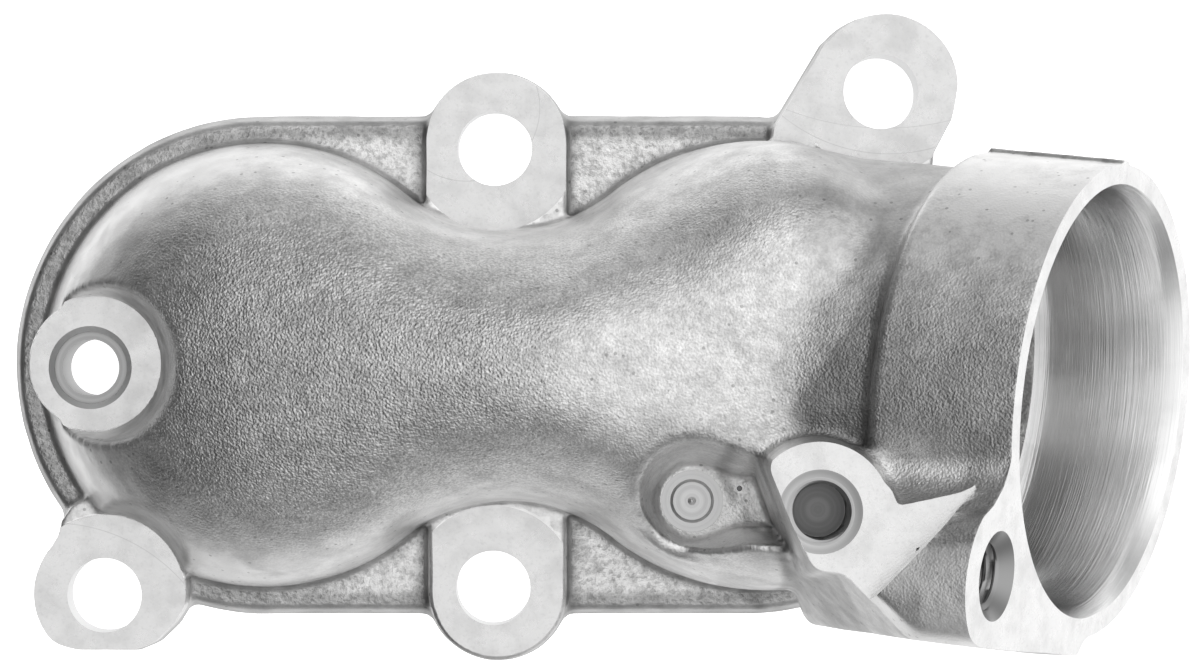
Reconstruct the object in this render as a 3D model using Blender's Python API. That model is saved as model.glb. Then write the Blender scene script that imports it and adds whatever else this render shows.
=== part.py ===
"""Coolant water outlet: a one-piece aluminium casting.

A two-lobed dome stands on a flat flange. A wide tube leaves the right lobe at
a shallow angle and ends in a machined socket. A lug with a tapped hole runs
along the tube, with a horizontal machined pad at its back end. Four bolt
bosses and two ears carry the flange.

Lengths below are millimetres; the mesh is built in metres. +Z points up, away
from the gasket face, which lies on Z = 0. +X points along the tube.
"""

import math

import bmesh
import bpy
from mathutils import Matrix, Vector

MM = 0.001

# ---------------------------------------------------------------- dimensions
SHIFT = (0.05, 0.2)             # puts the middle of the bounding box on the origin

LOBE_Y = -3.6                   # common axis of the two lobes
LOBE_L_X = -40.8                # middle of the left lobe
LOBE_R_X = 18.6                 # middle of the right lobe
LOBE_R = 27.1                   # lobe radius at its foot
WAIST_W = 16.6                  # half width of the dome at its waist
ROOF = 45.0                     # height of the flat roof over the right lobe
ROOF_DROP = 9.0                 # how much lower the roof is over the left lobe
ROUND = 2.35                    # roundness of the dome's sections
ROUND_FLAT = 4.6                # the same where the roof runs flat into the neck
WALL = 3.6                      # wall of the dome

FLANGE_R = 30.5                 # half width of the flange
FLANGE_L_X = -41.0
FLANGE_R_X = 17.8
FLANGE_T = 4.7                  # flange thickness between the bosses
FLANGE_EDGE = 1.5               # rounded upper edge of the flange

MOUTH = Vector((58.8, -7.72, 34.9))     # middle of the tube's end face
TUBE_RISE = math.radians(25.9)          # angle between the tube and the flange
TUBE_TURN = math.radians(-6.16)         # its turn about +Z
TUBE_R = 28.0
TUBE_L = 18.6                   # end face back to the shoulder
NECK_R = 25.7
NECK_L = 46.0                   # end face back to where the neck is inside the dome
BORE_R = 24.5
BORE_L = 18.0
PASSAGE_R = 22.3
PASSAGE_L = 52.0
MOUTH_CHAMFER = 0.9

LUG_HOLE = (-20.8, 27.4)        # tapped hole, seen on the end face
LUG_R = 8.8
LUG_SIDE = -29.1                # flat outer side of the lug, at the hole's height
LUG_LEAN = 0.04                 # the side's lean outwards going down
LUG_L = 44.0
LUG_DRAFT = 0.066
LUG_THREAD_R = 3.4
LUG_THREAD_L = 9.0
LUG_SINK_R = 5.15

PAD_Z = 58.0                    # height of the machined pad
PAD_C = (24.9, -19.9)
PAD_R = 7.9
PAD_FACET = ((19.18, -15.85), (22.23, -23.98))
PAD_SPOT_R = 4.8
PAD_SPOT_L = 0.6
PAD_HOLE_R = 3.3
PAD_HOLE_L = 9.0

POCKET_C = (10.9, -19.6)        # recess in the shoulder of the right lobe
POCKET_Z = 25.0
POCKET_R = 4.4
POCKET_CHANNEL = 2.9            # half width of the channel towards the pad
POCKET_DRAFT = 0.16             # widening for each millimetre of height
POCKET_SPOT_R = 3.7
POCKET_DISC_R = 2.6

BOSS_T = 8.0                    # height of the two waist bosses and the lower ear
TOP_BOSS = (-12.6, 23.35, 20.9, 8.42)
TOP_HOLE = (-12.75, 22.65)
LOW_BOSS = (-12.45, -31.03, -27.5, 8.15)
LOW_HOLE = (-12.94, -30.6)
LEFT_BOSS = (-61.0, -3.4)
LEFT_BOSS_R = 7.8
LEFT_BOSS_T = 13.0
LEFT_HOLE = (-61.35, -3.86)
LEFT_HOLE_R = 3.4
LEFT_SEAT_R = 4.35
LEFT_SEAT_L = 1.0
EAR_T = 11.8                    # height of the upper right ear
EAR_C = (34.46, 30.05, 8.73)
EAR_HOLE = (33.86, 29.4)
LOW_EAR_HOLE = (-60.04, -31.48)
BOLT_R = 4.5                    # clearance hole
BELOW = -2.0                    # forms start here; one cut then makes the gasket face

# ------------------------------------------------------------------- helpers
for ob in list(bpy.data.objects):
    bpy.data.objects.remove(ob, do_unlink=True)

part_col = bpy.data.collections.new("coolant_water_outlet")
tool_col = bpy.data.collections.new("cutters")
for col in (part_col, tool_col):
    bpy.context.scene.collection.children.link(col)

AXIS = Vector((math.cos(TUBE_RISE) * math.cos(TUBE_TURN),
               math.cos(TUBE_RISE) * math.sin(TUBE_TURN),
               math.sin(TUBE_RISE)))
ACROSS = Vector((-math.sin(TUBE_TURN), math.cos(TUBE_TURN), 0.0))
OVER = AXIS.cross(ACROSS)
FROM_TUBE = Matrix.Translation(MOUTH * MM) @ Matrix(
    (ACROSS, OVER, AXIS)).transposed().to_4x4()


def tool(me, name):
    ob = bpy.data.objects.new(name, me)
    tool_col.objects.link(ob)
    ob.hide_render = True
    ob.display_type = 'WIRE'
    return ob


def outward(bm):
    bmesh.ops.recalc_face_normals(bm, faces=bm.faces[:])
    if bm.calc_volume(signed=True) < 0:
        bmesh.ops.reverse_faces(bm, faces=bm.faces[:])


def cone(name, r_low, r_high, z_low, z_high, at=(0.0, 0.0), frame=None, segments=48):
    """A cone or cylinder between two heights, in the part's or the tube's frame."""
    bm = bmesh.new()
    bmesh.ops.create_cone(bm, cap_ends=True, cap_tris=False, segments=segments,
                          radius1=r_low * MM, radius2=r_high * MM,
                          depth=(z_high - z_low) * MM)
    bmesh.ops.translate(bm, verts=bm.verts,
                        vec=Vector((at[0], at[1], 0.5 * (z_low + z_high))) * MM)
    if frame is not None:
        bmesh.ops.transform(bm, matrix=frame, verts=bm.verts)
    outward(bm)
    me = bpy.data.meshes.new(name)
    bm.to_mesh(me)
    bm.free()
    return tool(me, name)


def plate(name, outline, z_low, z_high, frame=None, draft=0.0):
    """A flat outline given thickness: a filled 2D curve, made a mesh and welded."""
    cu = bpy.data.curves.new(name, 'CURVE')
    cu.dimensions = '2D'
    cu.fill_mode = 'BOTH'
    cu.extrude = 0.5 * (z_high - z_low) * MM
    sp = cu.splines.new('POLY')
    sp.points.add(len(outline) - 1)
    for p, (x, y) in zip(sp.points, outline):
        p.co = (x * MM, y * MM, 0.0, 1.0)
    sp.use_cyclic_u = True
    ob = bpy.data.objects.new(name + "_curve", cu)
    tool_col.objects.link(ob)
    bpy.context.view_layer.update()
    me = bpy.data.meshes.new_from_object(ob.evaluated_get(
        bpy.context.evaluated_depsgraph_get()))
    bpy.data.objects.remove(ob, do_unlink=True)
    bm = bmesh.new()
    bm.from_mesh(me)
    bmesh.ops.remove_doubles(bm, verts=bm.verts, dist=1e-7)
    bmesh.ops.dissolve_limit(bm, angle_limit=0.01, verts=bm.verts, edges=bm.edges)
    bmesh.ops.translate(bm, verts=bm.verts,
                        vec=(0.0, 0.0, 0.5 * (z_low + z_high) * MM))
    if draft:
        mid = sum((v.co for v in bm.verts), Vector()) / len(bm.verts)
        for v in bm.verts:
            if v.co.z > 0.5 * (z_low + z_high) * MM:
                away = Vector((v.co.x - mid.x, v.co.y - mid.y, 0.0))
                v.co += away.normalized() * draft * MM
    if frame is not None:
        bmesh.ops.transform(bm, matrix=frame, verts=bm.verts)
    outward(bm)
    bm.to_mesh(me)
    bm.free()
    return tool(me, name)


def arc(cx, cy, r, a0, a1, n):
    """Points of an arc, angles in degrees."""
    return [(cx + r * math.cos(math.radians(a0 + (a1 - a0) * i / n)),
             cy + r * math.sin(math.radians(a0 + (a1 - a0) * i / n)))
            for i in range(n + 1)]


def turned(name, profile, segments, at=(0.0, 0.0), frame=None):
    """A turned body from (radius, height) pairs, bottom to top."""
    frame = frame or Matrix.Identity(4)
    rings = []
    for r, z in profile:
        ring = []
        for i in range(segments):
            t = 2.0 * math.pi * (i + 0.5) / segments
            p = Vector((at[0] + r * math.cos(t), at[1] + r * math.sin(t), z))
            ring.append(tuple((frame @ (p * MM)) / MM))
        rings.append(ring)
    return loft(name, rings)


def loft(name, sections):
    """Closed body through sections with equal point counts, ends capped."""
    bm = bmesh.new()
    rows = [[bm.verts.new(Vector(p) * MM) for p in s] for s in sections]
    n = len(rows[0])
    for a, b in zip(rows, rows[1:]):
        for i in range(n):
            j = (i + 1) % n
            bm.faces.new((a[i], a[j], b[j], b[i]))
    bm.faces.new(rows[0])
    bm.faces.new(list(reversed(rows[-1])))
    outward(bm)
    me = bpy.data.meshes.new(name)
    bm.to_mesh(me)
    bm.free()
    return tool(me, name)


# --------------------------------------------------------------- dome form
def lobe_width(x, inset):
    """Half width of the two-lobed outline: two circles and a fillet arc."""
    r = LOBE_R - inset
    mid = 0.5 * (LOBE_L_X + LOBE_R_X)
    half = 0.5 * (LOBE_R_X - LOBE_L_X)
    w = WAIST_W - inset
    fillet = (half * half + w * w - r * r) / (2.0 * (r - w))
    touch = half * fillet / (r + fillet)
    if abs(x - mid) < touch:
        return w + fillet - math.sqrt(fillet * fillet - (x - mid) ** 2)
    c = LOBE_L_X if x < mid else LOBE_R_X
    return math.sqrt(max(r * r - (x - c) ** 2, 0.0))


def roundness(x):
    """Exponent of the section at x: fuller where the roof runs into the neck."""
    t = min(max((x - 6.0) / 25.0, 0.0), 1.0)
    return ROUND + (ROUND_FLAT - ROUND) * t * t * (3.0 - 2.0 * t)


def roof_height(x, inset):
    drop = 0.0
    if x < -4.0:
        drop = ROOF_DROP * ((-4.0 - x) / 37.0) ** 1.35
    h = ROOF - drop - inset
    r = LOBE_R - inset
    for c, side, p in ((LOBE_L_X, -1.0, ROUND), (LOBE_R_X, 1.0, ROUND_FLAT)):
        over = (x - c) * side
        if over > 0.0:
            h *= max(1.0 - min(over / r, 1.0) ** p, 0.0) ** (1.0 / p)
    return h


def dome(name, inset, floor, stations, across):
    """Loft of superelliptic sections along X, standing on the height `floor`."""
    r = LOBE_R - inset
    x0, x1 = LOBE_L_X - r, LOBE_R_X + r
    xs = [LOBE_L_X - r * math.cos(math.radians(a))
          for a in [2.5, 9, 16, 24, 33, 43, 54, 66, 78]]
    xs += [LOBE_L_X + (LOBE_R_X - LOBE_L_X) * i / stations for i in range(stations + 1)]
    xs += [LOBE_R_X + r * math.cos(math.radians(a))
           for a in [78, 66, 54, 43, 33, 24, 16, 9, 2.5]]
    sections = []
    for x in xs:
        w, h, p = lobe_width(x, inset), roof_height(x, inset), roundness(x)
        pts = []
        for i in range(across + 1):
            t = math.pi * i / across
            c, s = math.cos(t), math.sin(t)
            y = w * math.copysign(abs(c) ** (2.0 / p), c)
            z = h * max(s, 0.0) ** (2.0 / p)
            pts.append((x, LOBE_Y + y, z))
        pts[0] = (x, LOBE_Y + w, 0.0)
        pts[-1] = (x, LOBE_Y - w, 0.0)
        pts += [(x, LOBE_Y - w, floor), (x, LOBE_Y + w, floor)]
        sections.append(pts)
    return loft(name, sections)


# ------------------------------------------------------------ added shapes
adds = []


def stadium(r):
    return (arc(FLANGE_L_X, LOBE_Y, r, 90, 270, 24)
            + arc(FLANGE_R_X, LOBE_Y, r, -90, 90, 24))


rim = []
for z, inset in ((BELOW, 0.0), (FLANGE_T - FLANGE_EDGE, 0.25),
                 (FLANGE_T - 0.6 * FLANGE_EDGE, 0.55),
                 (FLANGE_T - 0.25 * FLANGE_EDGE, 1.05), (FLANGE_T, 1.75)):
    rim.append([(x, y, z) for x, y in stadium(FLANGE_R - inset)])
flange = loft("flange", rim)

adds.append(dome("dome_form", 0.0, BELOW, 14, 22))
adds.append(turned("neck_and_tube", [(NECK_R, -NECK_L), (NECK_R, -TUBE_L - 0.5),
                                     (NECK_R + 0.9, -TUBE_L - 0.2), (TUBE_R, -TUBE_L + 0.9),
                                     (TUBE_R, 2.0)], 72, frame=FROM_TUBE))


def long_boss(name, cx, y_a, y_b, r, t):
    hi, lo = max(y_a, y_b), min(y_a, y_b)
    return plate(name, arc(cx, hi, r, 0, 180, 20) + arc(cx, lo, r, 180, 360, 20), BELOW, t)


adds.append(long_boss("top_boss", TOP_BOSS[0], TOP_BOSS[1], TOP_BOSS[2], TOP_BOSS[3], BOSS_T))
adds.append(long_boss("low_boss", LOW_BOSS[0], LOW_BOSS[1], LOW_BOSS[2], LOW_BOSS[3], BOSS_T))
adds.append(cone("left_boss", LEFT_BOSS_R + 0.3, LEFT_BOSS_R, BELOW, LEFT_BOSS_T + 0.8, at=LEFT_BOSS))

ear = ([(20.7, 24.4), (20.9, 24.9), (27.3, 35.4)]
       + arc(EAR_C[0], EAR_C[1], EAR_C[2], 142, 2, 18)
       + [(42.6, 26.7), (40.3, 22.4), (40.0, 19.0), (34.0, 8.0), (18.0, 8.0)])
adds.append(plate("upper_ear", ear, BELOW, EAR_T))

low_ear = [(-65.2, -22.4), (-65.6, -24.2), (-67.7, -27.7), (-68.5, -31.1), (-67.8, -34.4),
           (-66.0, -36.8), (-63.2, -37.9), (-56.4, -37.9), (-53.9, -37.0), (-51.7, -34.9),
           (-50.2, -32.6), (-50.2, -30.1), (-50.9, -27.2), (-52.9, -23.9), (-56.5, -21.8),
           (-60.8, -21.3), (-63.6, -21.6)]
adds.append(plate("lower_ear", low_ear, BELOW, BOSS_T))



def lug_section(t):
    """The lug across the tube's axis; its inner side draws in away from the end face."""
    cx = LUG_HOLE[0] - LUG_DRAFT * t
    cy = LUG_HOLE[1] + 0.05 * t
    r = LUG_R + 0.03 * t
    foot = LUG_SIDE - LUG_LEAN * (LUG_HOLE[1] + 0.5)
    pts = ([(-10.0, 4.0), (-8.6, 25.4 + 0.05 * t), (-10.7, 28.4 + 0.05 * t)]
           + arc(cx, cy, r, 22, 92, 7)
           + arc(LUG_SIDE + r, cy, r, 98, 176, 8)
           + [(foot, -0.5), (-20.0, -0.5)])
    return [tuple((FROM_TUBE @ (Vector((a, b, t)) * MM)) / MM) for a, b in pts]


lug_body = loft("lug", [lug_section(-LUG_L * (1.0 - i / 6.0) + 1.5 * i / 6.0)
                        for i in range(7)])
pad_boss = cone("pad_boss", PAD_R + 1.6, PAD_R, 22.0, PAD_Z + 2.0, at=PAD_C)

# The lug and the pad's boss end together at one steep facet.
f0, f1 = Vector(PAD_FACET[0]), Vector(PAD_FACET[1])
along = (f1 - f0).normalized()
back = Vector((along.y, -along.x))
if back.x > 0:
    back = -back
corners = [f0 - along * 40.0, f1 + along * 40.0,
           f1 + along * 40.0 + back * 60.0, f0 - along * 40.0 + back * 60.0]
facet = plate("facet_cut", [tuple(c) for c in corners], -10.0, 80.0)
for k, how in ((pad_boss, 'UNION'), (facet, 'DIFFERENCE')):
    m = lug_body.modifiers.new(k.name, 'BOOLEAN')
    m.operation = how
    m.solver = 'EXACT'
    m.object = k
adds.append(lug_body)

# -------------------------------------------------------------- cut shapes
cuts = []
cuts.append(plate("below", [(-90, -60), (90, -60), (90, 60), (-90, 60)], -60.0, 0.0))

# Room left for the cutter round the left boss, then its holes.
cuts.append(cone("left_clearance", LEFT_BOSS_R + 0.35, LEFT_BOSS_R + 7.0, LEFT_BOSS_T,
                 LEFT_BOSS_T + 30.0, at=LEFT_BOSS))

# The hollow: the dome's inside, less the metal round the left boss's bolt
# and round the recess. Its own modifiers shape the cutter first.
hollow = dome("hollow", WALL, -6.0, 14, 18)
keep_boss = turned("keep_boss", [(7.2, -8.0), (7.2, LEFT_BOSS_T - 6.0),
                                 (LEFT_BOSS_R + 3.9, LEFT_BOSS_T - 3.0),
                                 (LEFT_BOSS_R + 13.0, LEFT_BOSS_T + 36.0)], 32, at=LEFT_BOSS)


def slot(cx, cy, length, r, z, n=16):
    """A level outline with round ends, from (cx, cy) for `length` along +X."""
    return [(x, y, z) for x, y in arc(cx, cy, r, 90, 270, n)
            + arc(cx + length, cy, r, -90, 90, n)]


keep_recess = loft("keep_recess", [slot(POCKET_C[0], POCKET_C[1], 5.2, 7.5, POCKET_Z - 3.5),
                                   slot(POCKET_C[0], POCKET_C[1], 5.2, 12.5, 60.0)])
cuts.append(hollow)
cuts.append(plate("end_face", [(-60, -60), (60, -60), (60, 60), (-60, 60)], 0.0, 30.0,
                  frame=FROM_TUBE))
bore = turned("bore", [(PASSAGE_R - 0.5, -PASSAGE_L), (PASSAGE_R, -BORE_L),
                       (BORE_R, -BORE_L), (BORE_R, -MOUTH_CHAMFER),
                       (BORE_R + 2.0 * MOUTH_CHAMFER, MOUTH_CHAMFER)], 64, frame=FROM_TUBE)
for k, how in ((bore, 'UNION'), (keep_boss, 'DIFFERENCE'), (keep_recess, 'DIFFERENCE')):
    m = hollow.modifiers.new(how.lower(), 'BOOLEAN')
    m.operation = how
    m.solver = 'EXACT'
    m.object = k

# Machined pad: the lug is milled down to PAD_Z inside this outline.
milled = [(10.0, -8.0), (10.0, -34.0), (22.6, -30.5), (27.3, -26.6), (30.2, -29.4),
          (42.4, -17.3), (41.0, -13.6), (32.0, -8.0)]
cuts.append(plate("pad_milling", milled, PAD_Z, 90.0))
cuts.append(turned("pad_hole", [(PAD_HOLE_R, PAD_Z - PAD_HOLE_L), (PAD_HOLE_R, PAD_Z - PAD_SPOT_L),
                                (PAD_SPOT_R, PAD_Z - PAD_SPOT_L), (PAD_SPOT_R, PAD_Z + 3.0)],
                   32, at=PAD_C))
sink = LUG_SINK_R - LUG_THREAD_R
cuts.append(turned("lug_hole", [(LUG_THREAD_R, -LUG_THREAD_L), (LUG_THREAD_R, -sink),
                                (LUG_SINK_R + 1.0, 1.0)], 32, at=LUG_HOLE, frame=FROM_TUBE))

# Recess with its channel and the drilled disc.
rise = 24.0
recess = turned("recess", [(POCKET_DISC_R, POCKET_Z - 0.9), (POCKET_DISC_R, POCKET_Z - 0.35),
                           (POCKET_SPOT_R, POCKET_Z - 0.35), (POCKET_SPOT_R, POCKET_Z),
                           (POCKET_R, POCKET_Z),
                           (POCKET_R + rise * POCKET_DRAFT, POCKET_Z + rise)], 48, at=POCKET_C)
channel = []
for z, g in ((POCKET_Z + 0.05, 0.0), (POCKET_Z + rise + 2.0, (rise + 2.0) * 0.8 * POCKET_DRAFT)):
    ends = []
    for y in (POCKET_C[1] - POCKET_CHANNEL - g, POCKET_C[1] + POCKET_CHANNEL + g):
        k = (y - PAD_FACET[0][1]) / (PAD_FACET[1][1] - PAD_FACET[0][1])
        ends.append((PAD_FACET[0][0] + k * (PAD_FACET[1][0] - PAD_FACET[0][0]) + 0.3, y, z))
    channel.append([(POCKET_C[0] + 1.5, ends[0][1], z), ends[0], ends[1],
                    (POCKET_C[0] + 1.5, ends[1][1], z)])
channel = loft("channel", channel)
m = recess.modifiers.new("channel", 'BOOLEAN')
m.operation = 'UNION'
m.solver = 'EXACT'
m.object = channel
cuts.append(recess)

for nm, at, r in (("top_hole", TOP_HOLE, BOLT_R), ("low_hole", LOW_HOLE, BOLT_R),
                  ("ear_hole", EAR_HOLE, BOLT_R), ("low_ear_hole", LOW_EAR_HOLE, BOLT_R)):
    cuts.append(cone(nm, r, r, -3.0, 30.0, at=at, segments=32))
cuts.append(turned("left_hole", [(LEFT_HOLE_R, -3.0), (LEFT_HOLE_R, LEFT_BOSS_T - LEFT_SEAT_L),
                                 (LEFT_SEAT_R, LEFT_BOSS_T - LEFT_SEAT_L),
                                 (LEFT_SEAT_R, LEFT_BOSS_T - 0.65),
                                 (LEFT_SEAT_R + 1.65, LEFT_BOSS_T + 1.0)], 32, at=LEFT_HOLE))

# ----------------------------------------------------------------- casting
casting = bpy.data.objects.new("outlet_casting", flange.data.copy())
part_col.objects.link(casting)
bpy.data.objects.remove(flange, do_unlink=True)
casting.location = (SHIFT[0] * MM, SHIFT[1] * MM, 0.0)
for ob in list(tool_col.objects):
    ob.location = (SHIFT[0] * MM, SHIFT[1] * MM, 0.0)
for ob in adds:
    m = casting.modifiers.new("add_" + ob.name, 'BOOLEAN')
    m.operation = 'UNION'
    m.solver = 'EXACT'
    m.object = ob
for ob in cuts:
    m = casting.modifiers.new("cut_" + ob.name, 'BOOLEAN')
    m.operation = 'DIFFERENCE'
    m.solver = 'EXACT'
    m.object = ob

alloy = bpy.data.materials.new("cast_aluminium")
alloy.use_nodes = True
shader = alloy.node_tree.nodes["Principled BSDF"]
shader.inputs["Base Color"].default_value = (0.62, 0.62, 0.61, 1.0)
shader.inputs["Metallic"].default_value = 0.9
shader.inputs["Roughness"].default_value = 0.45
casting.data.materials.append(alloy)
casting.data.shade_smooth()
casting.data.set_sharp_from_angle(angle=math.radians(30.0))
bpy.context.view_layer.update()
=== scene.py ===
"""Looks of the coolant water outlet: a die-cast aluminium housing with machined seats.

The cast skin is built as one signed-distance form in numpy, with the fillets and
rounded edges that a casting has, and turned into a mesh. The machined faces,
bores and threads are then cut into it sharply, each with its own finish.
Lengths in this file are millimetres until the meshes are made.
"""

import math

import bmesh
import bpy
import numpy as np
from mathutils import Matrix, Vector

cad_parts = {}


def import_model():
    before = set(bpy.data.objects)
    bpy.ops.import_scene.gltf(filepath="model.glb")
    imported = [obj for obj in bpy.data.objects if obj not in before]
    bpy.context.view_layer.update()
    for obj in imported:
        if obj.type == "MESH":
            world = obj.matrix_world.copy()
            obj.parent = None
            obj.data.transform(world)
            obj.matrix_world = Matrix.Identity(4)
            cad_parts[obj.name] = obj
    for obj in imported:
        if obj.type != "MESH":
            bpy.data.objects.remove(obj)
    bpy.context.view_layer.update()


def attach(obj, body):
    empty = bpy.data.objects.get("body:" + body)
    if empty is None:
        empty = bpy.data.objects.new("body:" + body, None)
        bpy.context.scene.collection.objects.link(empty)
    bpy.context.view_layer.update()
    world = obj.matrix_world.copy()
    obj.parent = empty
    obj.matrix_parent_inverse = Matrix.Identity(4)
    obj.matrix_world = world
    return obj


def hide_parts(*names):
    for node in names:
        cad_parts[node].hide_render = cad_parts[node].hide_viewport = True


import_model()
MM = 0.001

# ------------------------------------------------------------------ dimensions
SHIFT = np.array([0.05, 0.2, 0.0])
LOBE_Y, LOBE_L_X, LOBE_R_X, LOBE_R, WAIST_W = -3.6, -40.8, 18.6, 27.1, 16.6
ROOF, ROOF_DROP, ROUND, ROUND_FLAT, WALL = 45.0, 9.0, 2.35, 4.6, 3.6
FLANGE_R, FLANGE_L_X, FLANGE_R_X, FLANGE_T = 30.5, -41.0, 17.8, 4.7
MOUTH = np.array([58.8, -7.72, 34.9])
RISE, TURN = math.radians(25.9), math.radians(-6.16)
TUBE_R, TUBE_L, NECK_R, NECK_L = 27.8, 18.6, 25.7, 46.0
BORE_R, BORE_L, PASSAGE_R, PASSAGE_L = 24.5, 18.0, 22.3, 52.0
LUG_HOLE, LUG_SIDE, LUG_L, LUG_LEAN = (-20.8, 27.4), -29.1, 44.0, 0.04
PAD_Z, PAD_C, PAD_R = 58.0, (24.9, -19.9), 7.9
FACET_A, FACET_B = (19.18, -15.85), (22.23, -23.98)
POCKET_C, POCKET_Z, POCKET_R, CHANNEL_W, DRAFT = (10.9, -19.6), 25.0, 4.4, 2.9, 0.16
BOSS_T, EAR_T, LEFT_T = 8.0, 11.8, 13.0
TOP_HOLE, LOW_HOLE, EAR_HOLE, LOW_EAR_HOLE = ((-12.75, 22.65), (-12.94, -30.6),
                                              (33.86, 29.4), (-60.04, -31.48))
LEFT_BOSS, LEFT_HOLE = (-61.0, -3.4), (-61.35, -3.86)
BOLT_R = 4.5
MILL_R = 10.0                   # radius of the cutter that faced the bolt seats

AXIS = np.array([math.cos(RISE) * math.cos(TURN), math.cos(RISE) * math.sin(TURN),
                 math.sin(RISE)])
ACROSS = np.array([-math.sin(TURN), math.cos(TURN), 0.0])
OVER = np.cross(AXIS, ACROSS)

# --------------------------------------------------------- distance-field tools
F = np.float32


def join(a, b, r):
    """Union of two fields with a round fillet of radius r in the corner."""
    u, v = np.maximum(r - a, 0), np.maximum(r - b, 0)
    return np.maximum(r, np.minimum(a, b)) - np.sqrt(u * u + v * v)


def meet(a, b, r):
    """Intersection of two fields with a rounded edge of radius r."""
    u, v = np.maximum(r + a, 0), np.maximum(r + b, 0)
    return np.minimum(-r, np.maximum(a, b)) + np.sqrt(u * u + v * v)


def cut(a, b, r):
    """a without b, the rim rounded by r."""
    return meet(a, -b, r)


def segment(x, y, p, q):
    """Distance from (x, y) to the straight line p-q."""
    dx, dy = q[0] - p[0], q[1] - p[1]
    t = np.clip(((x - p[0]) * dx + (y - p[1]) * dy) / (dx * dx + dy * dy), 0, 1)
    return np.hypot(x - p[0] - t * dx, y - p[1] - t * dy)


def polygon(x, y, pts):
    """Signed distance to a closed outline, negative inside."""
    d = np.full(np.broadcast(x, y).shape, 1e9, F)
    inside = np.zeros(d.shape, bool)
    n = len(pts)
    for i in range(n):
        p, q = pts[i], pts[(i + 1) % n]
        d = np.minimum(d, segment(x, y, p, q))
        if p[1] != q[1]:
            hit = ((p[1] > y) != (q[1] > y)) & (
                x < (q[0] - p[0]) * (y - p[1]) / (q[1] - p[1]) + p[0])
            inside ^= hit
    return np.where(inside, -d, d).astype(F)


def arc(cx, cy, r, a0, a1, n):
    return [(cx + r * math.cos(math.radians(a0 + (a1 - a0) * i / n)),
             cy + r * math.sin(math.radians(a0 + (a1 - a0) * i / n)))
            for i in range(n + 1)]


def lobe_width(x, inset):
    r = LOBE_R - inset
    mid, half = 0.5 * (LOBE_L_X + LOBE_R_X), 0.5 * (LOBE_R_X - LOBE_L_X)
    w = WAIST_W - inset
    fillet = (half * half + w * w - r * r) / (2.0 * (r - w))
    touch = half * fillet / (r + fillet)
    c = np.where(x < mid, LOBE_L_X, LOBE_R_X)
    lobe = np.sqrt(np.maximum(r * r - (x - c) ** 2, 1e-4))
    waist = w + fillet - np.sqrt(np.maximum(fillet * fillet - (x - mid) ** 2, 0))
    return np.where(np.abs(x - mid) < touch, waist, lobe)


def slope_scaled(f, step, lowest):
    """Turns any implicit field into a near-distance by its own gradient."""
    g = np.gradient(f, step)
    n = np.sqrt(g[0] * g[0] + g[1] * g[1] + g[2] * g[2])
    return (f / np.maximum(n, lowest)).astype(F)


def dome(x, y, z, inset, step):
    """The two-lobed dome: superelliptic across, turned at the lobes' ends."""
    r = LOBE_R - inset
    over = np.where(x < LOBE_L_X, LOBE_L_X - x, np.where(x > LOBE_R_X, x - LOBE_R_X, 0.0))
    w = np.where(over > 0, r, lobe_width(np.clip(x, LOBE_L_X, LOBE_R_X), inset))
    u = np.hypot(over, y - LOBE_Y) / w
    t = np.clip((x - 6.0) / 25.0, 0, 1)
    p = ROUND + (ROUND_FLAT - ROUND) * t * t * (3 - 2 * t)
    drop = ROOF_DROP * (np.maximum(-4.0 - x, 0) / 37.0) ** 1.35
    h = ROOF - drop - inset
    v = np.maximum(z, 0) / h
    f = ((u ** p).astype(F) + (v ** p).astype(F)) ** (1.0 / p).astype(F) - 1.0
    return slope_scaled(f.astype(F), step, 0.012)


def grid(lo, hi, step):
    axes = [np.arange(a, b + step, step, dtype=F) for a, b in zip(lo, hi)]
    x = axes[0][:, None, None]
    y = axes[1][None, :, None]
    z = axes[2][None, None, :]
    return axes, x, y, z


def tube_frame(x, y, z):
    dx, dy, dz = x - F(MOUTH[0]), y - F(MOUTH[1]), z - F(MOUTH[2])
    a = dx * F(ACROSS[0]) + dy * F(ACROSS[1]) + dz * F(ACROSS[2])
    b = dx * F(OVER[0]) + dy * F(OVER[1]) + dz * F(OVER[2])
    t = dx * F(AXIS[0]) + dy * F(AXIS[1]) + dz * F(AXIS[2])
    return a, b, t


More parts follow.
